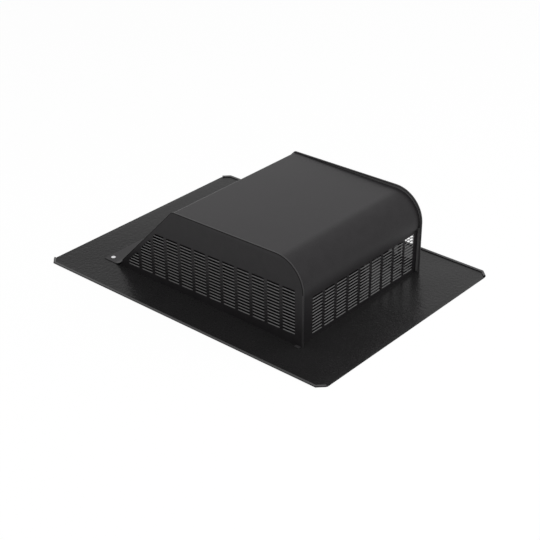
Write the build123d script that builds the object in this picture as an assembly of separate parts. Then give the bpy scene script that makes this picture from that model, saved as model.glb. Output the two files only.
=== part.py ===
from build123d import *
import math
import os

# Slant back roof vent in millimetres.
# X runs across the vent, -Y points down the roof, Z is up from the flange's underside.

# Sheet stock and the play left between folded sheets
hood_gauge = 0.8
base_gauge = 0.8
seam_clearance = 0.15

# Base flange
base_width = 385.0
base_depth = 508.0
corner_cut = 10.0
curl_diameter = 3.4
curl_sides = 8

# Throat, a round hole with a turned-up collar
throat_diameter = 203.2
throat_y = -50.0
collar_height = 12.0
collar_bend = 2.0
collar_land = 2.0

# Hood outline, measured along the crown of its standing seams
hood_width = 265.0
ridge_y = 58.6
ridge_z = 122.4
back_pitch = 47.0
top_rise = 1.1
front_y = -174.3
ridge_bend = 6.4
front_bend = 46.8

# Hood sheet, how far the seams stand above it and where its front lip ends
front_seam_rise = 3.4
back_seam_rise = 1.7
sheet_rise = 0.0
lip_z = 72.0

# Back foot of the hood sheet and its rivets
foot_bend = 22.0
foot_flat = 19.5
foot_width = 268.0
ear_rise = 1.0
rivet_end_inset = 8.0
rivet_side_inset = 10.0
rivet_head_diameter = 6.6
rivet_crown_diameter = 3.4
rivet_head_height = 1.4
rivet_shank = 3.2
rivet_sides = 10
rivet_clearance = 0.1

# Louvres, slots cut on a slant so that the strips between them shed rain
louvre_pitch = 4.75
slot_length = 21.0
slot_height = 3.5
slot_slant = 35.0
shortest_slot = 4.0

# Louvre field of a side panel
side_columns = 12
side_rows = 14
side_column_pitch = 26.2
side_first_column = 23.3
side_row_z = 14.3
side_back_margin = 6.5

# Front panel: its louvre field, and how it tucks up and sets back behind the hood's lip
front_columns = 9
front_rows = 12
front_column_pitch = 25.7
front_field_offset = 8.2
front_row_z = 8.4
front_tuck = 4.5
front_set_back = 2.0

# Feet turned along the bottom of the panels
panel_foot = 12.0
side_foot_back_gap = 14.0
front_foot_end_gap = 18.0
post_tab_width = 8.0
post_tab_reach = 4.5
post_tab_gap = 3.0

# Values that follow from the driving dimensions
hood_half = hood_width / 2
shell_half = hood_half - hood_gauge - seam_clearance
fold_radius = (3 * hood_gauge + 2 * seam_clearance) / 2
under_back = back_seam_rise + hood_gauge
foot_top = base_gauge + hood_gauge
foot_tangent = foot_bend * math.tan(math.radians(back_pitch) / 2)
curl_radius = curl_diameter / 2
throat_radius = throat_diameter / 2

ridge = Vector(ridge_y, ridge_z)
back_way = Vector(math.cos(math.radians(back_pitch)), -math.sin(math.radians(back_pitch)))
back_out = Vector(math.sin(math.radians(back_pitch)), math.cos(math.radians(back_pitch)))
top_way = Vector(-math.cos(math.radians(top_rise)), math.sin(math.radians(top_rise)))
top_out = Vector(math.sin(math.radians(top_rise)), math.cos(math.radians(top_rise)))
sheet_way = Vector(-math.cos(math.radians(sheet_rise)), math.sin(math.radians(sheet_rise)))
sheet_out = Vector(math.sin(math.radians(sheet_rise)), math.cos(math.radians(sheet_rise)))


# Where two straight lines of the side view cross
def crossing(first, first_way, second, second_way):
    apart = second - first
    turn = first_way.X * second_way.Y - first_way.Y * second_way.X
    return first + first_way * ((apart.X * second_way.Y - apart.Y * second_way.X) / turn)


# Corners of the hood outline, moved in from the crown by an inset
def ridge_at(inset):
    return crossing(ridge - back_out * inset, back_way, ridge - top_out * inset, top_way)


def brow_at(inset):
    return crossing(ridge - top_out * inset, top_way, Vector(front_y + inset, 0), Vector(0, 1))


def back_at(inset, height):
    return crossing(ridge - back_out * inset, back_way, Vector(0, height), Vector(1, 0))


# Point of the side view as a point of the vent
def side_point(point):
    return Vector(0, point.X, point.Y)


foot_corner = back_at(back_seam_rise, foot_top)
foot_end = foot_corner.X + foot_tangent + foot_flat
sheet_ridge = ridge_at(back_seam_rise)


# Point of the back slope where the seam starts, square to the slope
def seam_start(inset, lift):
    return foot_corner - back_way * (foot_tangent + lift) + back_out * (back_seam_rise - inset)


# Hood outline at an inset, from the back slope over the ridge and the curved front
def hood_line(inset, start, height):
    end = Vector(front_y + inset, height)
    bends = (ridge_bend - inset, front_bend - inset)
    return FilletPolyline(start, ridge_at(inset), brow_at(inset), end, radius=bends)


# Hood sheet at a depth below its outer face, through given points at its back
def sheet_line(depth, back_points, back_bends):
    top = sheet_ridge - sheet_out * depth
    front = front_y + front_seam_rise + depth
    ridge_corner = crossing(sheet_ridge - back_out * depth, back_way, top, sheet_way)
    brow_corner = crossing(top, sheet_way, Vector(front, 0), Vector(0, 1))
    bends = (ridge_bend - back_seam_rise - depth, front_bend - front_seam_rise - depth)
    return FilletPolyline(
        *back_points, ridge_corner, brow_corner, Vector(front, lip_z), radius=(*back_bends, *bends))


# Face between two lines that run side by side
def strip(outer, inner):
    ends = [Line(outer @ 1, inner @ 1), Line(outer @ 0, inner @ 0)]
    return make_face([*outer.edges(), *inner.edges(), *ends])


# Solid across the vent from a face of the side view
def across(face, start, end):
    return extrude(Plane.YZ.offset(start) * face, amount=end - start, dir=(1, 0, 0))


# Box from its lowest and highest corners
def block(low, high):
    size = Vector(*high) - Vector(*low)
    return Pos(*low) * Box(size.X, size.Y, size.Z, align=(Align.MIN, Align.MIN, Align.MIN))


# Faceted pins standing where the rivets go, larger than a shank by some play
def rivet_pins(play, bottom, top):
    section = RegularPolygon(rivet_shank / 2 + play, rivet_sides, major_radius=False)
    pin = extrude(Pos(0, 0, bottom) * section, amount=top - bottom, dir=(0, 0, 1))
    return [Pos(x, y, 0) * pin for x, y in rivet_spots]


# Slots of a louvre field, each sloping down and out through the panel
def louvre_slots(face, columns, rows, back_limit):
    rise = 1 / math.tan(math.radians(slot_slant))
    low = -hood_gauge
    high = 2 * hood_gauge
    middle = hood_gauge / 2
    sill = [(low, (low - middle) * rise), (high, (high - middle) * rise)]
    head = [(depth, height + slot_height) for depth, height in reversed(sill)]
    section = make_face(Polyline(*sill, *head, close=True).edges())
    slots = []
    for column in columns:
        for row in rows:
            start = max(column - slot_length / 2, back_limit(row))
            length = column + slot_length / 2 - start
            if length >= shortest_slot:
                seat = Plane(face.from_local_coords((start, row, 0)), -face.z_dir, face.x_dir)
                slots.append(extrude(seat * section, amount=length, dir=face.x_dir))
    return slots


# Outline of the curled edge, a circle in flats with one flat lying on the roof
def curl_outline(radius):
    return Rot(0, 0, 180 / curl_sides) * RegularPolygon(radius, curl_sides, major_radius=False)


# Base flange: flat sheet with cut corners, curled side edges and a collar round the throat
def make_base_flange():
    half_width = base_width / 2
    half_depth = base_depth / 2
    side_x = half_width - curl_radius
    side_y = half_depth - corner_cut - curl_radius * (math.sqrt(2) - 1)
    end_x = half_width - corner_cut - curl_radius * math.sqrt(2)
    left = [(-end_x, -half_depth), (-side_x, -side_y), (-side_x, side_y), (-end_x, half_depth)]
    right = [(-x, y) for x, y in reversed(left)]
    sheet = extrude(make_face(Polyline(*left, *right, close=True).edges()), amount=base_gauge)
    hole_radius = throat_radius + base_gauge + collar_bend + collar_land
    hole = Pos(0, throat_y, 0) * Cylinder(hole_radius, 2 * collar_height)

    outer_radius = throat_radius + base_gauge
    wall_in = Polyline(
        (hole_radius, 0), (outer_radius + collar_bend, 0),
        (throat_radius, collar_bend + base_gauge), (throat_radius, collar_height))
    wall_out = Polyline(
        (hole_radius, base_gauge), (outer_radius + collar_bend, base_gauge),
        (outer_radius, collar_bend + base_gauge), (outer_radius, collar_height))
    collar = Pos(0, throat_y, 0) * revolve(Plane.XZ * strip(wall_in, wall_out), Axis.Z)

    setback = curl_radius * math.sqrt(0.5)
    curl_end = (-end_x - setback, -half_depth + setback)
    path = Pos(0, 0, curl_radius) * Polyline(
        curl_end, left[1], left[2], (curl_end[0], -curl_end[1]))
    ring = curl_outline(curl_radius) - curl_outline(curl_radius - base_gauge)
    quarter = Rectangle(curl_diameter, curl_diameter, align=(Align.MIN, Align.MAX))
    way = path % 0
    inward = Vector(0, 0, 1).cross(way) * -1
    curl = sweep(Plane(path @ 0, inward, way) * (ring - quarter), path=path, transition=Transition.RIGHT)
    rivet_holes = rivet_pins(rivet_clearance, -base_gauge, foot_top)
    return sheet - hole + collar + curl + mirror(curl, about=Plane.YZ) - rivet_holes


# Hood sheet: back foot, slope, top, curved front and the legs turned up into the seams
def make_hood_top():
    foot_under_corner = back_at(under_back, base_gauge)
    outer = sheet_line(0, [Vector(foot_end, foot_top), foot_corner], [foot_bend])
    inner = sheet_line(
        hood_gauge, [Vector(foot_end, base_gauge), foot_under_corner], [foot_bend + hood_gauge])
    sheet = across(strip(outer, inner), -shell_half, shell_half)

    ear_outer = FilletPolyline(
        (foot_end, foot_top), foot_corner, seam_start(back_seam_rise, ear_rise), radius=foot_bend)
    ear_inner = FilletPolyline(
        (foot_end, base_gauge), foot_under_corner, seam_start(under_back, ear_rise),
        radius=foot_bend + hood_gauge)
    ears = across(strip(ear_outer, ear_inner), -foot_width / 2, foot_width / 2)

    leg_tip = hood_line(fold_radius, seam_start(fold_radius, ear_rise), lip_z)
    leg_root = sheet_line(hood_gauge, [seam_start(under_back, ear_rise)], [])
    leg = across(strip(leg_tip, leg_root), -shell_half, hood_gauge - shell_half)
    rivet_holes = rivet_pins(rivet_clearance, 0, foot_top + hood_gauge)
    return sheet + ears + leg + mirror(leg, about=Plane.YZ) - rivet_holes


# Left side panel: louvred sheet whose edge folds over the hood's leg as a standing seam
def make_left_side_panel():
    lift = ear_rise + seam_clearance
    crown = hood_line(fold_radius, seam_start(fold_radius, lift), base_gauge)
    toe = back_at(under_back + seam_clearance, base_gauge)
    step = seam_start(under_back + seam_clearance, lift)
    edges = [*crown.edges(), Line(crown @ 1, toe), Line(toe, step), Line(step, crown @ 0)]
    sheet = across(make_face(edges), -hood_half, hood_gauge - hood_half)

    leaf_depth = back_seam_rise - seam_clearance - fold_radius
    crest = fold_radius * math.tan(math.radians(22.5))
    slot = fold_radius - hood_gauge
    section = make_face(Polyline(
        (-fold_radius, 0), (-fold_radius, crest), (-crest, fold_radius), (crest, fold_radius),
        (fold_radius, crest), (fold_radius, -leaf_depth), (slot, -leaf_depth), (slot, slot),
        (-slot, slot), (-slot, 0), close=True).edges())
    path = Plane.YZ.offset(fold_radius - hood_half) * crown
    fold = sweep(Plane(path @ 0, (1, 0, 0), path % 0) * section, path=path)

    tab_front = front_y + 2 * fold_radius
    tab_back = tab_front + post_tab_width
    foot_front = tab_back + post_tab_gap
    foot_back = toe.X - side_foot_back_gap
    foot = block(
        (-hood_half, foot_front, base_gauge), (panel_foot - hood_half, foot_back, foot_top))
    tab = block(
        (-hood_half - post_tab_reach, tab_front, base_gauge), (-hood_half, tab_back, foot_top))

    face = Plane((-hood_half, 0, side_row_z), side_point(top_way), (-1, 0, 0))
    limit_low = face.to_local_coords(side_point(back_at(side_back_margin, 0)))
    limit_high = face.to_local_coords(side_point(ridge_at(side_back_margin)))
    limit_way = limit_high - limit_low
    first = -(front_y + side_first_column)
    columns = [first - number * side_column_pitch for number in range(side_columns)]
    rows = [number * louvre_pitch for number in range(side_rows)]
    slots = louvre_slots(
        face, columns, rows,
        lambda row: crossing(limit_low, limit_way, Vector(0, row), Vector(1, 0)).X)
    return sheet + fold + foot + tab - slots


# Front panel: louvred sheet tucked behind the hood's lip, its side legs inside the seams
def make_front_louvre_panel():
    outer_y = front_y + front_seam_rise + hood_gauge + front_set_back
    inner_y = outer_y + hood_gauge
    leg_y = front_y + fold_radius
    leg_x = shell_half - hood_gauge
    leg_top = lip_z - seam_clearance
    sheet = block((-shell_half, outer_y, base_gauge), (shell_half, inner_y, leg_top))
    leg = block((-shell_half, leg_y, base_gauge), (-leg_x, outer_y, leg_top))
    tongue = block((-leg_x, outer_y, leg_top), (leg_x, inner_y, lip_z + front_tuck))
    foot_half = hood_half - front_foot_end_gap
    foot = block((-foot_half, outer_y, base_gauge), (foot_half, outer_y + panel_foot, foot_top))

    face = Plane((front_field_offset, outer_y, front_row_z), (1, 0, 0), (0, -1, 0))
    middle = (front_columns - 1) / 2
    columns = [(number - middle) * front_column_pitch for number in range(front_columns)]
    rows = [number * louvre_pitch for number in range(front_rows)]
    slots = louvre_slots(face, columns, rows, lambda row: -hood_width)
    return sheet + leg + mirror(leg, about=Plane.YZ) + tongue + foot - slots


# Rivets through the back foot, each with a low tapered head and a flush tail
def make_foot_rivets():
    slope = (rivet_head_diameter - rivet_crown_diameter) / 2 / rivet_head_height
    outline = RegularPolygon(rivet_head_diameter / 2, rivet_sides)
    head = extrude(outline, amount=rivet_head_height, taper=math.degrees(math.atan(slope)))
    shanks = rivet_pins(0, 0, foot_top)
    heads = [Pos(x, y, foot_top) * head for x, y in rivet_spots]
    return Compound([shank + head for shank, head in zip(shanks, heads)])


rivet_spots = [
    (side * (foot_width / 2 - rivet_side_inset), foot_end - rivet_end_inset) for side in (-1, 1)]
left_side_panel = make_left_side_panel()
nodes = {
    "base_flange": make_base_flange(),
    "hood_top": make_hood_top(),
    "left_side_panel": left_side_panel,
    "right_side_panel": mirror(left_side_panel, about=Plane.YZ),
    "front_louvre_panel": make_front_louvre_panel(),
    "foot_rivets": make_foot_rivets(),
}

os.makedirs("parts", exist_ok=True)
for name, shape in nodes.items():
    export_step(shape, f"parts/{name}.step")
    print(name, len(shape.solids()), round(shape.volume))
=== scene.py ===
import bmesh
import bpy
import math
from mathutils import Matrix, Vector
from mathutils.geometry import tessellate_polygon


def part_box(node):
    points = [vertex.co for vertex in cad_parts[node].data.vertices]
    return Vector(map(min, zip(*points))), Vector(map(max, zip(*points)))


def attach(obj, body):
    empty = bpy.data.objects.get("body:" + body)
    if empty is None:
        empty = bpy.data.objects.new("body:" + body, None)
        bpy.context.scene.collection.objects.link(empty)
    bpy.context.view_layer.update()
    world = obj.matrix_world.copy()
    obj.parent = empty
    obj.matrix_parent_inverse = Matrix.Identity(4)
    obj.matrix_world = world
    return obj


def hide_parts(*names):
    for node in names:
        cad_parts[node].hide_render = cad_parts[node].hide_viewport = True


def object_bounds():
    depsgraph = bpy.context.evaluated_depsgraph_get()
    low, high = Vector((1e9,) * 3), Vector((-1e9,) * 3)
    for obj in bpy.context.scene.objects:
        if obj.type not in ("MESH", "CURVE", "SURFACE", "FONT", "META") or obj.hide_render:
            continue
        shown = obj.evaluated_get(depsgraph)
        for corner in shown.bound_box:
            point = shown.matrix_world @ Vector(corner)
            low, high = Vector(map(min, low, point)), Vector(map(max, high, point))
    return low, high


# Slant back roof vent: sheet metal in millimetres, scaled to metres as each mesh is made
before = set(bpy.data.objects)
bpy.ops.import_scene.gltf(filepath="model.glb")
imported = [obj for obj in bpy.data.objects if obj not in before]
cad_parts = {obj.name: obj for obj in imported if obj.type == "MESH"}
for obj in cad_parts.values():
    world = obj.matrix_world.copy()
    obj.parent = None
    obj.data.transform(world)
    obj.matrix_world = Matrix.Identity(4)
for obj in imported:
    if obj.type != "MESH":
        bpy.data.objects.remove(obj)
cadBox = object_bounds()
mm = 0.001
arcStep = math.radians(4)  # how finely bends are divided
fewestSteps = 3  # in any bend


# flat geometry of the side view, as (y, z)

def crossing(first, firstWay, second, secondWay):
    apart = second - first
    turn = firstWay.x * secondWay.y - firstWay.y * secondWay.x
    return first + firstWay * ((apart.x * secondWay.y - apart.y * secondWay.x) / turn)


def bentLine(corners, bends):
    # straight runs with an arc at each inner corner
    corners = [Vector(corner) for corner in corners]
    points = [corners[0]]
    for before, corner, after, bend in zip(corners, corners[1:], corners[2:], bends):
        wayIn = (corner - before).normalized()
        wayOut = (after - corner).normalized()
        turn = wayIn.angle_signed(wayOut)
        steps = max(fewestSteps, math.ceil(abs(turn) / arcStep))
        side = Vector((-wayIn.y, wayIn.x)) * (-1 if turn > 0 else 1)
        start = corner - wayIn * bend * math.tan(abs(turn) / 2)
        for step in range(steps + 1):
            angle = abs(turn) * step / steps
            points.append(start + wayIn * bend * math.sin(angle) + side * bend * (1 - math.cos(angle)))
    points.append(corners[-1])
    return points


def lineNormals(points):
    # outward normals of a line that runs from the back of the hood to its front
    normals = []
    for index in range(len(points)):
        before = points[max(index - 1, 0)]
        after = points[min(index + 1, len(points) - 1)]
        way = (after - before).normalized()
        normals.append(Vector((way.y, -way.x)))
    return normals


def clipped(polygon, keep):
    # the part of a polygon where keep(point) is not below zero
    result = []
    for here, after in zip(polygon, polygon[1:] + polygon[:1]):
        inHere, inAfter = keep(here), keep(after)
        if inHere >= 0:
            result.append(here)
        if inHere * inAfter < 0:
            result.append(here.lerp(after, inHere / (inHere - inAfter)))
    return result


# sheet metal as one mesh, made of lofts and flat plates
joint = {"decimals": 5, "reach": 0.0001}  # places compared, in metres, and weld distance, in millimetres


def joinWalls(solid):
    # where one run of sheet goes on into the next, drops the doubled wall and joins its rim
    walls = {}
    for face in solid.faces:
        spots = frozenset(tuple(round(value, joint["decimals"]) for value in vert.co) for vert in face.verts)
        walls.setdefault(spots, []).append(face)
    doubled = [face for faces in walls.values() if len(faces) == 2 for face in faces]
    rim = list(dict.fromkeys(vert for face in doubled for vert in face.verts))  # same order each run
    bmesh.ops.delete(solid, geom=doubled, context="FACES_ONLY")
    bmesh.ops.remove_doubles(solid, verts=rim, dist=joint["reach"] * mm)
    loose = [edge for edge in solid.edges if not edge.link_faces]
    bmesh.ops.delete(solid, geom=loose, context="EDGES")


def evenPlates(solid):
    # flat plates are the only triangles: turns their inner edges so that none is a sliver
    plates = [face for face in solid.faces if len(face.verts) == 3]
    inner = [edge for edge in solid.edges if [len(face.verts) for face in edge.link_faces] == [3, 3]]
    bmesh.ops.beautify_fill(solid, faces=plates, edges=inner, method="ANGLE")


class Metal:
    def __init__(self):
        self.points = []
        self.faces = []
        self.rounded = []
        self.tones = []

    def add(self, face, rounded):
        self.faces.append(face)
        self.rounded.append(rounded)

    def tint(self, *tones):
        # which paints the faces made since the last call wear, over and over round a section
        fresh = len(self.faces) - len(self.tones)
        self.tones += [tones[step % len(tones)] for step in range(fresh)]

    def loft(self, loops, wrap=False):
        # skin over a row of like sections, with flat ends or wrapped round on itself
        base = len(self.points)
        count = len(loops[0])
        for loop in loops:
            self.points += [Vector(point) for point in loop]
        rings = list(range(len(loops)))
        for here, after in zip(rings, rings[1:] + ([0] if wrap else [])):
            for step in range(count):
                ahead = (step + 1) % count
                self.add((base + here * count + step, base + here * count + ahead,
                          base + after * count + ahead, base + after * count + step), True)
        if not wrap:
            self.add(tuple(base + step for step in range(count)), False)
            self.add(tuple(base + rings[-1] * count + step for step in range(count)), False)

    def plate(self, loops, place, gauge):
        # flat sheet with holes: loops are (u, v), place(u, v, w) puts them in space
        base = len(self.points)
        flat = [point for loop in loops for point in loop]
        for w in (gauge / 2, -gauge / 2):
            self.points += [Vector(place(u, v, w)) for u, v in flat]
        back = base + len(flat)
        for face in tessellate_polygon([[Vector((u, v, 0)) for u, v in loop] for loop in loops]):
            self.add(tuple(base + index for index in face), False)
            self.add(tuple(back + index for index in reversed(face)), False)
        start = 0
        for loop in loops:
            for step in range(len(loop)):
                here, ahead = start + step, start + (step + 1) % len(loop)
                self.add((base + here, base + ahead, back + ahead, back + here), False)
            start += len(loop)

    def bar(self, low, high):
        x0, y0, z0 = low
        x1, y1, z1 = high
        self.loft([[(x, y0, z0), (x, y1, z0), (x, y1, z1), (x, y0, z1)] for x in (x0, x1)])

    def across(self, outer, inner, start, end):
        # band of sheet between two lines of the side view, from one x to another
        section = list(outer) + list(reversed(inner))
        self.loft([[(x, y, z) for y, z in section] for x in (start, end)])

    def mirrored(self):
        other = Metal()
        other.points = [Vector((-x, y, z)) for x, y, z in self.points]
        other.faces = list(self.faces)
        other.rounded = list(self.rounded)
        other.tones = list(self.tones)
        return other

    def piece(self, name, paints, slot, *nodes, crease=32):
        order = list(paints)
        self.tint(order[0])
        mesh = bpy.data.meshes.new(name)
        mesh.from_pydata([point * mm for point in self.points], [], self.faces)
        for paint in paints.values():
            mesh.materials.append(paint)
        mesh.polygons.foreach_set("material_index", [order.index(tone) for tone in self.tones])
        mesh.polygons.foreach_set("use_smooth", self.rounded)
        solid = bmesh.new()
        solid.from_mesh(mesh)
        joinWalls(solid)
        evenPlates(solid)
        bmesh.ops.recalc_face_normals(solid, faces=solid.faces)
        solid.to_mesh(mesh)
        solid.free()
        mesh.set_sharp_from_angle(angle=math.radians(crease))
        made = bpy.data.objects.new(name, mesh)
        bpy.context.scene.collection.objects.link(made)
        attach(made, "root")
        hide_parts(*nodes)
        print(name, len(mesh.vertices), "points")


# shader maths

class Wire:
    def __init__(self, tree, socket):
        self.tree = tree
        self.socket = socket

    def math(self, operation, first, second):
        return self.tree.put("ShaderNodeMath", {"operation": operation}, {0: first, 1: second})

    def __add__(self, other):
        return self.math("ADD", self, other)

    def __radd__(self, other):
        return self.math("ADD", other, self)

    def __sub__(self, other):
        return self.math("SUBTRACT", self, other)

    def __rsub__(self, other):
        return self.math("SUBTRACT", other, self)

    def __mul__(self, other):
        return self.math("MULTIPLY", self, other)

    def __rmul__(self, other):
        return self.math("MULTIPLY", other, self)


class Tree:
    def __init__(self, owner):
        owner.use_nodes = True
        self.nodes = owner.node_tree.nodes
        self.links = owner.node_tree.links
        self.nodes.clear()

    def put(self, kind, settings=None, values=None, out=0):
        node = self.nodes.new(kind)
        for name, value in (settings or {}).items():
            if name == "stops":
                for stop, (place, colour) in zip(node.color_ramp.elements, value):
                    stop.position = place
                    stop.color = colour
            else:
                setattr(node, name, value)
        for name, value in (values or {}).items():
            if isinstance(value, Wire):
                self.links.new(value.socket, node.inputs[name])
            else:
                node.inputs[name].default_value = value
        return Wire(self, node.outputs[out]) if node.outputs else node

    def noise(self, where, size, detail, rough):
        # soft noise whose lumps are about size millimetres across
        return self.put("ShaderNodeTexNoise", {"noise_dimensions": "3D"},
                        {"Vector": where, "Scale": 1 / (size * mm), "Detail": detail, "Roughness": rough})

    def between(self, low, high, mask):
        return self.put("ShaderNodeMapRange", {"clamp": True},
                        {"Value": mask, "To Min": low, "To Max": high})

    def blend(self, first, second, mask):
        # a colour Mix has its factor at 0, its colours at 6 and 7 and its result at 2
        return self.put("ShaderNodeMix", {"data_type": "RGBA"}, {0: mask, 6: first, 7: second}, out=2)


enamel = {  # what all the black paints share
    "peelRough": 0.55, "grainDetail": 2.0, "grainRough": 0.6, "cloudDetail": 3.0, "cloudRough": 0.5,
    "waveDetail": 1.0, "waveRough": 0.4, "cloudShare": 0.6, "grainShare": 0.4, "coatRough": 0.3,
}


def blackPaint(name, look):
    # baked black enamel: orange peel, slow waves of the sheet, faint changes of tone
    paint = bpy.data.materials.new(name)
    tree = Tree(paint)
    where = tree.put("ShaderNodeTexCoord", out="Object")
    peel = tree.noise(where, look["peelSize"], look["peelDetail"], enamel["peelRough"])
    grain = tree.noise(where, look["grainSize"], enamel["grainDetail"], enamel["grainRough"])
    cloud = tree.noise(where, look["cloudSize"], enamel["cloudDetail"], enamel["cloudRough"])
    wave = tree.noise(where, look["waveSize"], enamel["waveDetail"], enamel["waveRough"])
    fleck = tree.put("ShaderNodeValToRGB", {"stops": look["fleckStops"]}, {"Fac": grain})
    tone = tree.blend(look["dark"], look["light"], cloud)
    colour = tree.blend(tone, look["fleck"], fleck)
    worn = cloud * enamel["cloudShare"] + grain * enamel["grainShare"]
    rough = tree.between(look["roughLow"], look["roughHigh"], worn)
    height = peel * look["peelDepth"] + grain * look["grainDepth"] + wave * look["waveDepth"]
    bump = tree.put("ShaderNodeBump", None,
                    {"Strength": look["bump"], "Distance": mm, "Height": height})
    finish = {"Base Color": colour, "Roughness": rough, "Normal": bump, "Specular IOR Level": look["gloss"]}
    if look["coat"]:
        # clear coat that grows along one axis: a painted sheen, towards the right side of the flange and at
        # the top of the hood by the ridge
        spot = tree.put("ShaderNodeSeparateXYZ", None, {0: where}, out=look["coatAxis"])
        finish["Coat Weight"] = tree.put("ShaderNodeMapRange", {"clamp": True}, {
            "Value": spot, "From Min": look["coatFrom"] * mm, "From Max": look["coatTo"] * mm,
            "To Min": 0.0, "To Max": look["coat"]})
        finish["Coat Roughness"] = enamel["coatRough"]
    shade = tree.put("ShaderNodeBsdfPrincipled", None, finish)
    tree.put("ShaderNodeOutputMaterial", None, {"Surface": shade})
    return paint


hoodLook = {
    "dark": (0.0104, 0.0096, 0.0104, 1), "light": (0.0180, 0.0168, 0.0180, 1),
    "fleck": (0.034, 0.031, 0.034, 1), "fleckStops": [(0.60, (0, 0, 0, 1)), (0.74, (1, 1, 1, 1))],
    "peelSize": 1.5, "peelDepth": 0.10, "grainSize": 0.55, "grainDepth": 0.05,
    "waveSize": 90, "waveDepth": 0.5, "cloudSize": 14, "peelDetail": 3.0,
    "roughLow": 0.34, "roughHigh": 0.46, "bump": 0.7, "gloss": 0.17,
    "coat": 0.06, "coatAxis": "Z", "coatFrom": 119.4, "coatTo": 120.5,
}
flangeLook = dict(
    hoodLook, dark=(0.0100, 0.0098, 0.0100, 1), light=(0.0135, 0.0132, 0.0135, 1),
    peelSize=4.6, peelDepth=0.5, peelDetail=1.0, grainSize=0.9, grainDepth=0.05, cloudSize=40,
    waveSize=120, waveDepth=1.2, roughLow=0.18, roughHigh=0.28, bump=0.9, gloss=0.08,
    coat=0.26, coatAxis="X", coatFrom=-130, coatTo=160)
# much lighter black paint: painted light for the louvre strips, the hood's and the front panel's legs and
# the curls' inner sides
paintedLightLook = dict(
    hoodLook, dark=(0.084, 0.083, 0.084, 1), light=(0.110, 0.108, 0.110, 1),
    fleck=(0.12, 0.12, 0.12, 1), gloss=0.5, bump=0.3, coat=0)
# lighter black paint: a painted highlight on the seams and the side panels' post tabs
seamHighlightLook = dict(paintedLightLook, dark=(0.022, 0.021, 0.022, 1), light=(0.029, 0.028, 0.029, 1),
                fleck=(0.034, 0.033, 0.034, 1), gloss=0.24)
# lighter still, for the tops of the curled flange edges: a painted highlight
curlHighlightLook = dict(seamHighlightLook, dark=(0.034, 0.033, 0.034, 1), light=(0.044, 0.043, 0.044, 1), gloss=0.4)
shadeLook = dict(paintedLightLook, dark=(0.006, 0.006, 0.006, 1), light=(0.009, 0.009, 0.009, 1),
                 fleck=(0.012, 0.012, 0.012, 1), gloss=0.05)
# pale grey paint for the side panels' inner feet, far lighter than the black paint elsewhere
innerLook = dict(
    paintedLightLook, dark=(0.16, 0.16, 0.16, 1), light=(0.24, 0.24, 0.24, 1), fleck=(0.3, 0.3, 0.3, 1))
hoodPaint = blackPaint("hoodBlackPaint", hoodLook)
paintedLightPaint = blackPaint("paintedLightBlackPaint", paintedLightLook)
innerPaint = blackPaint("paleInnerFootPaint", innerLook)
seamHighlightPaint = blackPaint("seamPaintedHighlight", seamHighlightLook)
curlHighlightPaint = blackPaint("curlPaintedHighlight", curlHighlightLook)
shadePaint = blackPaint("foldShadePaint", shadeLook)
flangePaint = blackPaint("flangeBlackPaint", flangeLook)


rivetLook = {
    "dull": (0.62, 0.62, 0.63, 1), "bright": (0.86, 0.86, 0.87, 1), "roughLow": 0.2, "roughHigh": 0.42,
    "rubSize": 0.7, "rubDetail": 3.0, "rubRough": 0.6, "bump": 0.3, "rubDepth": 0.05,
}


def rivetMetal():
    # bare aluminium, rubbed bright in places
    look = rivetLook
    metal = bpy.data.materials.new("bareRivet")
    tree = Tree(metal)
    where = tree.put("ShaderNodeTexCoord", out="Object")
    rub = tree.noise(where, look["rubSize"], look["rubDetail"], look["rubRough"])
    bump = tree.put("ShaderNodeBump", None,
                    {"Strength": look["bump"], "Distance": look["rubDepth"] * mm, "Height": rub})
    shade = tree.put("ShaderNodeBsdfPrincipled", None, {
        "Base Color": tree.blend(look["dull"], look["bright"], rub), "Metallic": 1.0,
        "Roughness": tree.between(look["roughLow"], look["roughHigh"], rub), "Normal": bump})
    tree.put("ShaderNodeOutputMaterial", None, {"Surface": shade})
    return metal


print("paints ready")

# hood outline along the crown of its seams
hood = {
    "half": 132.5, "gauge": 0.8, "play": 0.15, "frontSeamRise": 3.4, "backSeamRise": 1.7,
    "ridge": Vector((58.6, 122.4)), "backPitch": 47, "topRise": 1.1, "frontY": -174.3,
    "ridgeBend": 6.4, "frontBend": 46.8, "lipZ": 72.0,
    "footBend": 22.0, "footFlat": 19.5, "footHalf": 134.0, "earRise": 1.0,
}
flange = {
    "gauge": 0.8, "cornerCut": 10.0, "curl": 1.7, "throat": 101.6, "throatY": -50.0,
    "collarBend": 2.0, "roundSteps": 144, "curlTurn": 270, "curlSteps": 20, "curlLit": 8, "curlInner": 16,
    "crease": 40,
}
pitch = math.radians(hood["backPitch"])
rise = math.radians(hood["topRise"])
backWay = Vector((math.cos(pitch), -math.sin(pitch)))
backOut = Vector((math.sin(pitch), math.cos(pitch)))
topWay = Vector((-math.cos(rise), math.sin(rise)))
topOut = Vector((math.sin(rise), math.cos(rise)))
upWay = Vector((0, 1))
levelWay = Vector((1, 0))
gauge = hood["gauge"]
shellHalf = hood["half"] - gauge - hood["play"]
foldRadius = (3 * gauge + 2 * hood["play"]) / 2
underBack = hood["backSeamRise"] + gauge
floorZ = flange["gauge"]
footTop = floorZ + gauge


def ridgeAt(inset):
    return crossing(hood["ridge"] - backOut * inset, backWay, hood["ridge"] - topOut * inset, topWay)


def browAt(inset):
    front = Vector((hood["frontY"] + inset, 0))
    return crossing(hood["ridge"] - topOut * inset, topWay, front, upWay)


def backAt(inset, height):
    return crossing(hood["ridge"] - backOut * inset, backWay, Vector((0, height)), levelWay)


footCorner = backAt(hood["backSeamRise"], footTop)
footTangent = hood["footBend"] * math.tan(pitch / 2)
footEnd = footCorner.x + footTangent + hood["footFlat"]
sheetRidge = ridgeAt(hood["backSeamRise"])


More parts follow.
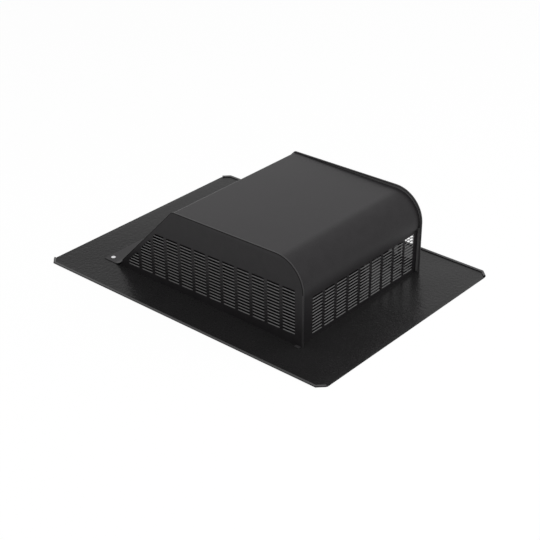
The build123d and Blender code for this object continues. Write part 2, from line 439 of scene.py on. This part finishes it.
def seamStart(inset, lift):
    return footCorner - backWay * (footTangent + lift) + backOut * (hood["backSeamRise"] - inset)


def hoodLine(inset, start, height):
    end = Vector((hood["frontY"] + inset, height))
    bends = (hood["ridgeBend"] - inset, hood["frontBend"] - inset)
    return bentLine([start, ridgeAt(inset), browAt(inset), end], bends)


def sheetLine(depth, start):
    # hood sheet at a depth below its outer face, level on top
    top = sheetRidge - upWay * depth
    front = hood["frontY"] + hood["frontSeamRise"] + depth
    corners = [start, crossing(sheetRidge - backOut * depth, backWay, top, levelWay), (front, top.y)]
    bends = (hood["ridgeBend"] - hood["backSeamRise"] - depth,
             hood["frontBend"] - hood["frontSeamRise"] - depth)
    return bentLine(corners + [(front, hood["lipZ"])], bends)


def makeHoodTop():
    # skin from the back foot to the front lip, with legs turned up into the seams
    sheet = Metal()
    lift = hood["earRise"]
    outer = sheetLine(0, seamStart(hood["backSeamRise"], lift))
    inner = sheetLine(gauge, seamStart(underBack, lift))
    sheet.across(outer, inner, -shellHalf, shellHalf)
    ear = bentLine([(footEnd, footTop), footCorner, outer[0]], [hood["footBend"]])
    earUnder = bentLine(
        [(footEnd, floorZ), backAt(underBack, floorZ), inner[0]], [hood["footBend"] + gauge])
    sheet.across(ear, earUnder, -hood["footHalf"], hood["footHalf"])
    legTip = hoodLine(foldRadius, seamStart(foldRadius, lift), hood["lipZ"])
    sheet.tint("sheet")
    for side in (-1, 1):
        sheet.across(legTip, outer, side * shellHalf, side * (shellHalf - gauge))
    # the legs wear the much lighter paint: painted light on the seams' inner walls, which lie in shade
    sheet.tint("leg")
    sheet.piece("hoodTop", {"sheet": hoodPaint, "leg": paintedLightPaint}, "black_paint", "hood_top")


# louvre fields: rows of strips twisted out of the sheet between plain uprights
louvre = {
    "pitch": 4.75, "slot": 21.0, "shortest": 4.0, "open": 3.5, "sill": 0.5,
    "strip": 1.3, "stripGauge": 0.6, "tilt": 45, "twistRun": 2.4, "drop": 0.62, "bury": 0.3,
    "edgeSteps": 4, "twistSteps": 4,
}


def eased(share):
    return share * share * (3 - 2 * share)


def stripLoop(place, u, v, twist):
    # rounded section of one strip at a station along it
    edge = louvre["stripGauge"] / 2
    half = louvre["strip"] / 2 - edge
    steps = louvre["edgeSteps"]
    loop = []
    for end, turn in ((half, 0), (-half, math.pi)):
        for step in range(steps + 1):
            angle = turn + math.pi * step / steps
            along = end + edge * math.sin(angle)
            out = edge * math.cos(angle)
            loop.append(place(u, v + along * math.cos(twist) + out * math.sin(twist),
                              out * math.cos(twist) - along * math.sin(twist)))
    return loop


def louvreStrip(sheet, place, start, end, v):
    # lies in the sheet at both ends, which are buried a little, and is twisted between them
    run = min(louvre["twistRun"], (end - start) / 3)  # a short strip twists over a third at each end
    tilt = math.radians(louvre["tilt"])
    shares = [step / louvre["twistSteps"] for step in range(louvre["twistSteps"] + 1)]
    loops = [stripLoop(place, start - louvre["bury"], v, 0)]
    stations = [(start + run * share, share) for share in shares]
    stations += [(end - run * share, share) for share in reversed(shares)]
    for u, share in stations:
        loops.append(stripLoop(place, u, v, tilt * eased(share)))
    loops.append(stripLoop(place, end + louvre["bury"], v, 0))
    sheet.loft(loops)


def louvreWindow(column, rows, limit):
    # opening of one column, and the strips that cross it as (start, end, v)
    low, high = column - louvre["slot"] / 2, column + louvre["slot"] / 2
    heights = [number * louvre["pitch"] for number in range(rows)]
    heights = [v for v in heights if high - max(low, limit(v)) >= louvre["shortest"]]
    bottom = -louvre["drop"] - louvre["sill"]
    top = heights[-1] + louvre["open"] - louvre["sill"]
    frameLoop = [Vector(corner) for corner in ((low, bottom), (high, bottom), (high, top), (low, top))]
    frameLoop = clipped(frameLoop, lambda point: point.x - limit(point.y))
    strips = [(max(low, limit(v)), high, v - louvre["drop"]) for v in heights]
    return frameLoop, strips


sideField = {
    "columns": 12, "rows": 14, "columnPitch": 26.2, "firstColumn": 23.3, "rowZ": 14.3, "backMargin": 6.5,
}
sidePanel = {
    "foot": 12.0, "footBackGap": 14.0, "tabWidth": 8.0, "tabReach": 4.5, "tabGap": 3.0,
    "roundSteps": 14, "rootSteps": 4, "blunt": 0.6,
}


def makeSidePanels():
    sheet = Metal()
    lift = hood["earRise"] + hood["play"]
    crown = hoodLine(foldRadius, seamStart(foldRadius, lift), floorZ)
    tucked = underBack + hood["play"]
    toe = backAt(tucked, floorZ)
    outline = crown + [toe, seamStart(tucked, lift)]
    start = Vector((0, sideField["rowZ"]))
    midX = gauge / 2 - hood["half"]

    def onSheet(y, z, w):
        return midX - w, y, z

    def onField(u, v, w):
        point = start + topWay * u + topOut * v
        return midX - w, point.x, point.y

    def fieldPoint(point):
        return Vector(((point - start).dot(topWay), (point - start).dot(topOut)))

    limitLow = fieldPoint(backAt(sideField["backMargin"], 0))
    limitWay = fieldPoint(ridgeAt(sideField["backMargin"])) - limitLow

    def limit(v):
        return limitLow.x + limitWay.x * (v - limitLow.y) / limitWay.y

    loops = [[(point.x, point.y) for point in outline]]
    first = -(hood["frontY"] + sideField["firstColumn"])
    for number in range(sideField["columns"]):
        opening, strips = louvreWindow(first - number * sideField["columnPitch"], sideField["rows"], limit)
        corners = [start + topWay * point.x + topOut * point.y for point in opening]
        loops.append([(corner.x, corner.y) for corner in corners])
        for low, high, v in strips:
            louvreStrip(sheet, onField, low, high, v)
    # the strips wear the much lighter paint: painted light on their lit faces
    sheet.tint("strip")
    sheet.plate(loops, onSheet, gauge)
    sheet.tint("sheet")

    # round standing seam folded over the hood's leg
    leaf = hood["backSeamRise"] - hood["play"] - foldRadius
    hollow = foldRadius - gauge
    angles = [math.pi * step / sidePanel["roundSteps"] for step in range(sidePanel["roundSteps"] + 1)]
    blunt = sidePanel["blunt"]
    section = [(-math.copysign(abs(math.cos(angle)) ** blunt, math.cos(angle)) * foldRadius,
                abs(math.sin(angle)) ** blunt * foldRadius) for angle in angles]
    section += [(foldRadius, -leaf), (hollow, -leaf)]
    section += [(hollow * math.cos(angle), hollow * math.sin(angle)) for angle in angles]
    seamX = foldRadius - hood["half"]
    sheet.loft([
        [(seamX + x, point.x + normal.x * n, point.y + normal.y * n) for x, n in section]
        for point, normal in zip(crown, lineNormals(crown))])
    # painted light and shade: the crown wears the lighter seam paint, a painted highlight, while above the
    # lip its outer root, leaf and hollow are painted near black, a painted shade
    lit = range(sidePanel["rootSteps"], sidePanel["roundSteps"] + 1)
    tones = ["seam" if step in lit or point.y < hood["lipZ"] else "root"
             for point in crown[1:] for step in range(len(section))]
    sheet.tint(*tones, "seam", "seam")  # the last two are the seam's flat ends

    tabFront = hood["frontY"] + 2 * foldRadius
    footFront = tabFront + sidePanel["tabWidth"] + sidePanel["tabGap"]
    footBack = toe.x - sidePanel["footBackGap"]
    sheet.bar((gauge - hood["half"], footFront, floorZ),
              (sidePanel["foot"] - hood["half"], footBack, footTop))
    # the inner feet are painted pale grey
    sheet.tint("foot")
    sheet.bar((-hood["half"] - sidePanel["tabReach"], tabFront, floorZ),
              (-hood["half"], tabFront + sidePanel["tabWidth"], footTop))
    # the tab wears the lighter seam paint: a painted highlight
    sheet.tint("seam")
    other = sheet.mirrored()
    paints = {"sheet": hoodPaint, "strip": paintedLightPaint, "foot": innerPaint,
              "seam": seamHighlightPaint, "root": shadePaint}
    sheet.piece("leftSidePanel", paints, "black_paint", "left_side_panel")
    other.piece("rightSidePanel", paints, "black_paint", "right_side_panel")


frontField = {
    "columns": 9, "rows": 12, "columnPitch": 25.7, "offset": 8.2, "rowZ": 8.4, "tuck": 4.5,
    "setBack": 2.0, "foot": 12.0, "footEndGap": 18.0,
}


def makeFrontPanel():
    sheet = Metal()
    outerY = hood["frontY"] + hood["frontSeamRise"] + gauge + frontField["setBack"]
    innerY = outerY + gauge
    midY = outerY + gauge / 2
    legTop = hood["lipZ"] - hood["play"]
    top = hood["lipZ"] + frontField["tuck"]
    legX = shellHalf - gauge

    def onSheet(x, z, w):
        return x, midY - w, z

    def onField(u, v, w):
        return frontField["offset"] + u, midY - w, frontField["rowZ"] + v

    outline = [(-shellHalf, floorZ), (shellHalf, floorZ), (shellHalf, legTop), (legX, legTop),
               (legX, top), (-legX, top), (-legX, legTop), (-shellHalf, legTop)]
    loops = [outline]
    for number in range(frontField["columns"]):
        column = (number - (frontField["columns"] - 1) / 2) * frontField["columnPitch"]
        opening, strips = louvreWindow(column, frontField["rows"], lambda v: -hood["half"])
        loops.append([(frontField["offset"] + u, frontField["rowZ"] + v) for u, v in opening])
        for low, high, v in strips:
            louvreStrip(sheet, onField, low, high, v)
    # the strips wear the much lighter paint: painted light
    sheet.tint("light")
    sheet.plate(loops, onSheet, gauge)
    sheet.tint("sheet")
    for side in (-1, 1):
        low, high = sorted((side * shellHalf, side * legX))
        sheet.bar((low, hood["frontY"] + foldRadius, floorZ), (high, outerY, legTop))
    # the legs wear it too: painted light
    sheet.tint("light")
    footHalf = hood["half"] - frontField["footEndGap"]
    sheet.bar((-footHalf, innerY, floorZ), (footHalf, outerY + frontField["foot"], footTop))
    paints = {"sheet": hoodPaint, "light": paintedLightPaint}
    sheet.piece("frontLouvrePanel", paints, "black_paint", "front_louvre_panel")


def curlTone(step):
    # painted light and shade: the curl's top is painted lighter, its inner side lighter still, and its
    # underside, outer foot and hollow near black
    if flange["curlInner"] <= step < flange["curlSteps"]:
        return "inside"
    return "curl" if flange["curlLit"] <= step < flange["curlSteps"] else "under"


def makeBaseFlange():
    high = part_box("base_flange")[1]
    halfWidth, halfDepth, collarTop = high.x / mm, high.y / mm, high.z / mm
    thick, curl, throat = flange["gauge"], flange["curl"], flange["throat"]
    sheet = Metal()
    sideX = halfWidth - curl  # the corners are cut at 45 degrees
    sideY = halfDepth - flange["cornerCut"] - curl * (math.sqrt(2) - 1)
    endX = halfWidth - flange["cornerCut"] - curl * math.sqrt(2)
    setback = curl * math.sqrt(0.5)
    left = [(-endX, -halfDepth), (-endX - setback, -halfDepth + setback), (-sideX, -sideY)]
    left += [(x, -y) for x, y in reversed(left)]
    right = [(-x, y) for x, y in reversed(left)]
    holeRadius = throat + thick + flange["collarBend"]
    circle = [2 * math.pi * step / flange["roundSteps"] for step in range(flange["roundSteps"])]
    hole = [(holeRadius * math.cos(a), flange["throatY"] + holeRadius * math.sin(a)) for a in circle]
    sheet.plate([left + right, hole], lambda x, y, w: (x, y, thick / 2 + w), thick)

    # collar with a rolled bend at its root
    inside = bentLine(
        [(holeRadius, 0), (throat, 0), (throat, collarTop)], [flange["collarBend"] + thick])
    outside = bentLine([(holeRadius, thick), (throat + thick, thick), (throat + thick, collarTop)],
                       [flange["collarBend"]])
    section = inside[1:] + list(reversed(outside[1:]))
    sheet.loft([
        [(r * math.cos(a), flange["throatY"] + r * math.sin(a), z) for r, z in section] for a in circle],
        wrap=True)
    sheet.tint("sheet")

    # side edges curled up and over
    steps = flange["curlSteps"]
    turns = [math.radians(-90 - flange["curlTurn"] * step / steps) for step in range(steps + 1)]
    ring = [(curl * math.cos(a), curl + curl * math.sin(a)) for a in turns]
    ring += [((curl - thick) * math.cos(a), curl + (curl - thick) * math.sin(a)) for a in reversed(turns)]
    path = [Vector(point) for point in left[1:-1]]
    ways = [(after - before).normalized() for before, after in zip(path, path[1:])]
    inwards = [Vector((way.y, -way.x)) for way in ways]
    for side in (-1, 1):
        loops = []
        for point, before, after in zip(path, inwards[:1] + inwards, inwards + inwards[-1:]):
            mitre = (before + after) / (1 + before.dot(after))
            loops.append([(-side * (point.x + mitre.x * s), point.y + mitre.y * s, z) for s, z in ring])
        sheet.loft(loops)
        sheet.tint(*[curlTone(step) for step in range(len(ring))])
    paints = {"sheet": flangePaint, "curl": curlHighlightPaint, "under": shadePaint, "inside": paintedLightPaint}
    sheet.piece("baseFlange", paints, "black_paint", "base_flange", crease=flange["crease"])


rivet = {
    "head": 3.3, "rim": 0.25, "shank": 1.6, "rise": 1.4, "mandrel": 0.95,
    "pit": 0.5, "pitTop": 0.85, "pitFloor": 0.8, "pitBevel": 0.1,
    "sideInset": 10.0, "endInset": 8.0, "steps": 28, "domeSteps": 7,
}


def makeRivets():
    sheet = Metal()
    profile = [(rivet["shank"], 0), (rivet["shank"], footTop), (rivet["head"], footTop)]
    for step in range(rivet["domeSteps"] + 1):
        share = step / rivet["domeSteps"]
        radius = rivet["head"] + (rivet["mandrel"] - rivet["head"]) * share
        height = rivet["rim"] + (rivet["rise"] - rivet["rim"]) * math.sin(share * math.pi / 2)
        profile.append((radius, footTop + height))
    crown = footTop + rivet["rise"]
    profile += [(rivet["mandrel"] * rivet["pitTop"], crown - rivet["pitBevel"]),
                (rivet["mandrel"] * rivet["pitFloor"], crown - rivet["pit"])]
    angles = [2 * math.pi * step / rivet["steps"] for step in range(rivet["steps"])]
    y = footEnd - rivet["endInset"]
    for side in (-1, 1):
        x = side * (hood["footHalf"] - rivet["sideInset"])
        sheet.loft([[(x + r * math.cos(a), y + r * math.sin(a), z) for a in angles] for r, z in profile])
    sheet.piece("footRivets", {"metal": rivetMetal()}, "bare_rivet", "foot_rivets")


makeHoodTop()
makeSidePanels()
makeFrontPanel()
makeBaseFlange()
makeRivets()
print("metal made")

# white studio: what the camera and the gloss see is white, the lamps stay plain
studio = {
    "floorHalf": 4.0, "floorDrop": 0.0004, "floorGlow": 0.94, "floorColour": (0.86, 0.86, 0.86, 1),
    "shadeInset": 0.02, "underShadeColour": (0.02, 0.02, 0.02, 1),
    "skyPlain": 0.55, "keyPower": 34, "keySize": 1.6, "keyPlace": (-0.5, -0.7, 2.1),
    "fillPower": 10, "fillSize": 1.4, "fillPlace": (1.5, -1.2, 1.2), "aim": Vector((0, 0, 0.05)),
}


def seenWhite(tree):
    path = tree.put("ShaderNodeLightPath")
    seen = [Wire(tree, path.socket.node.outputs[name])
            for name in ("Is Camera Ray", "Is Glossy Ray", "Is Transmission Ray")]
    return seen[0].math("MAXIMUM", seen[0].math("MAXIMUM", seen[0], seen[1]), seen[2])


def makeFloor():
    half = studio["floorHalf"]
    mesh = bpy.data.meshes.new("studioFloor")
    low, high = cadBox
    inset = studio["shadeInset"]
    shade = [(low.x + inset, low.y + inset), (high.x - inset, low.y + inset),
             (high.x - inset, high.y - inset), (low.x + inset, high.y - inset)]
    corners = [(-half, -half), (half, -half), (half, half), (-half, half)] + shade
    ring = [(side, (side + 1) % 4, 4 + (side + 1) % 4, 4 + side) for side in range(4)]
    mesh.from_pydata([(x, y, -studio["floorDrop"]) for x, y in corners], [], ring + [(4, 5, 6, 7)])
    white = bpy.data.materials.new("floorWhite")
    tree = Tree(white)
    plain = tree.put("ShaderNodeBsdfDiffuse", None, {"Color": studio["floorColour"]})
    glow = tree.put("ShaderNodeEmission", None, {"Color": (1, 1, 1, 1), "Strength": 1.0})
    shine = seenWhite(tree) * studio["floorGlow"]
    mixed = tree.put("ShaderNodeMixShader", None, {0: shine, 1: plain, 2: glow})
    tree.put("ShaderNodeOutputMaterial", None, {"Surface": mixed})
    mesh.materials.append(white)
    under = bpy.data.materials.new("floorShadeUnderVent")  # the floor under the vent is near black and has no glow: painted shade
    tree = Tree(under)
    dim = tree.put("ShaderNodeBsdfDiffuse", None, {"Color": studio["underShadeColour"]})
    tree.put("ShaderNodeOutputMaterial", None, {"Surface": dim})
    mesh.materials.append(under)
    mesh.polygons[len(ring)].material_index = 1
    floor = bpy.data.objects.new("studioFloor", mesh)
    bpy.context.scene.collection.objects.link(floor)


def makeSky():
    world = bpy.data.worlds.new("studioSky")
    bpy.context.scene.world = world
    tree = Tree(world)
    seen = seenWhite(tree)
    strength = studio["skyPlain"] + seen * (1 - studio["skyPlain"])
    sky = tree.put("ShaderNodeBackground", None, {"Color": (1, 1, 1, 1), "Strength": strength})
    tree.put("ShaderNodeOutputWorld", None, {"Surface": sky})


def softLamp(name, power, size, place):
    lamp = bpy.data.lights.new(name, "AREA")
    lamp.energy = power
    lamp.size = size
    made = bpy.data.objects.new(name, lamp)
    made.location = place
    made.rotation_euler = (studio["aim"] - Vector(place)).to_track_quat("-Z", "Y").to_euler()
    made.visible_glossy = False
    bpy.context.scene.collection.objects.link(made)


makeFloor()
makeSky()
softLamp("keyLamp", studio["keyPower"], studio["keySize"], studio["keyPlace"])
softLamp("fillLamp", studio["fillPower"], studio["fillSize"], studio["fillPlace"])
print("studio lit")

lens = {"place": Vector((-1.2761, -1.0976, 0.9491)), "azimuth": 49.433, "down": 29.505, "focal": 89.2,
        "sensor": 36}


def makeCamera():
    turn = math.radians(lens["azimuth"])
    dip = math.radians(lens["down"])
    sight = Vector((math.sin(turn) * math.cos(dip), math.cos(turn) * math.cos(dip), -math.sin(dip)))
    camera = bpy.data.cameras.new("photoCamera")
    camera.lens = lens["focal"]
    camera.sensor_width = lens["sensor"]
    made = bpy.data.objects.new("photoCamera", camera)
    made.location = lens["place"]
    made.rotation_euler = sight.to_track_quat("-Z", "Y").to_euler()
    bpy.context.scene.collection.objects.link(made)
    bpy.context.scene.camera = made


makeCamera()
bpy.context.scene.view_settings.view_transform = "Standard"
print("camera set")
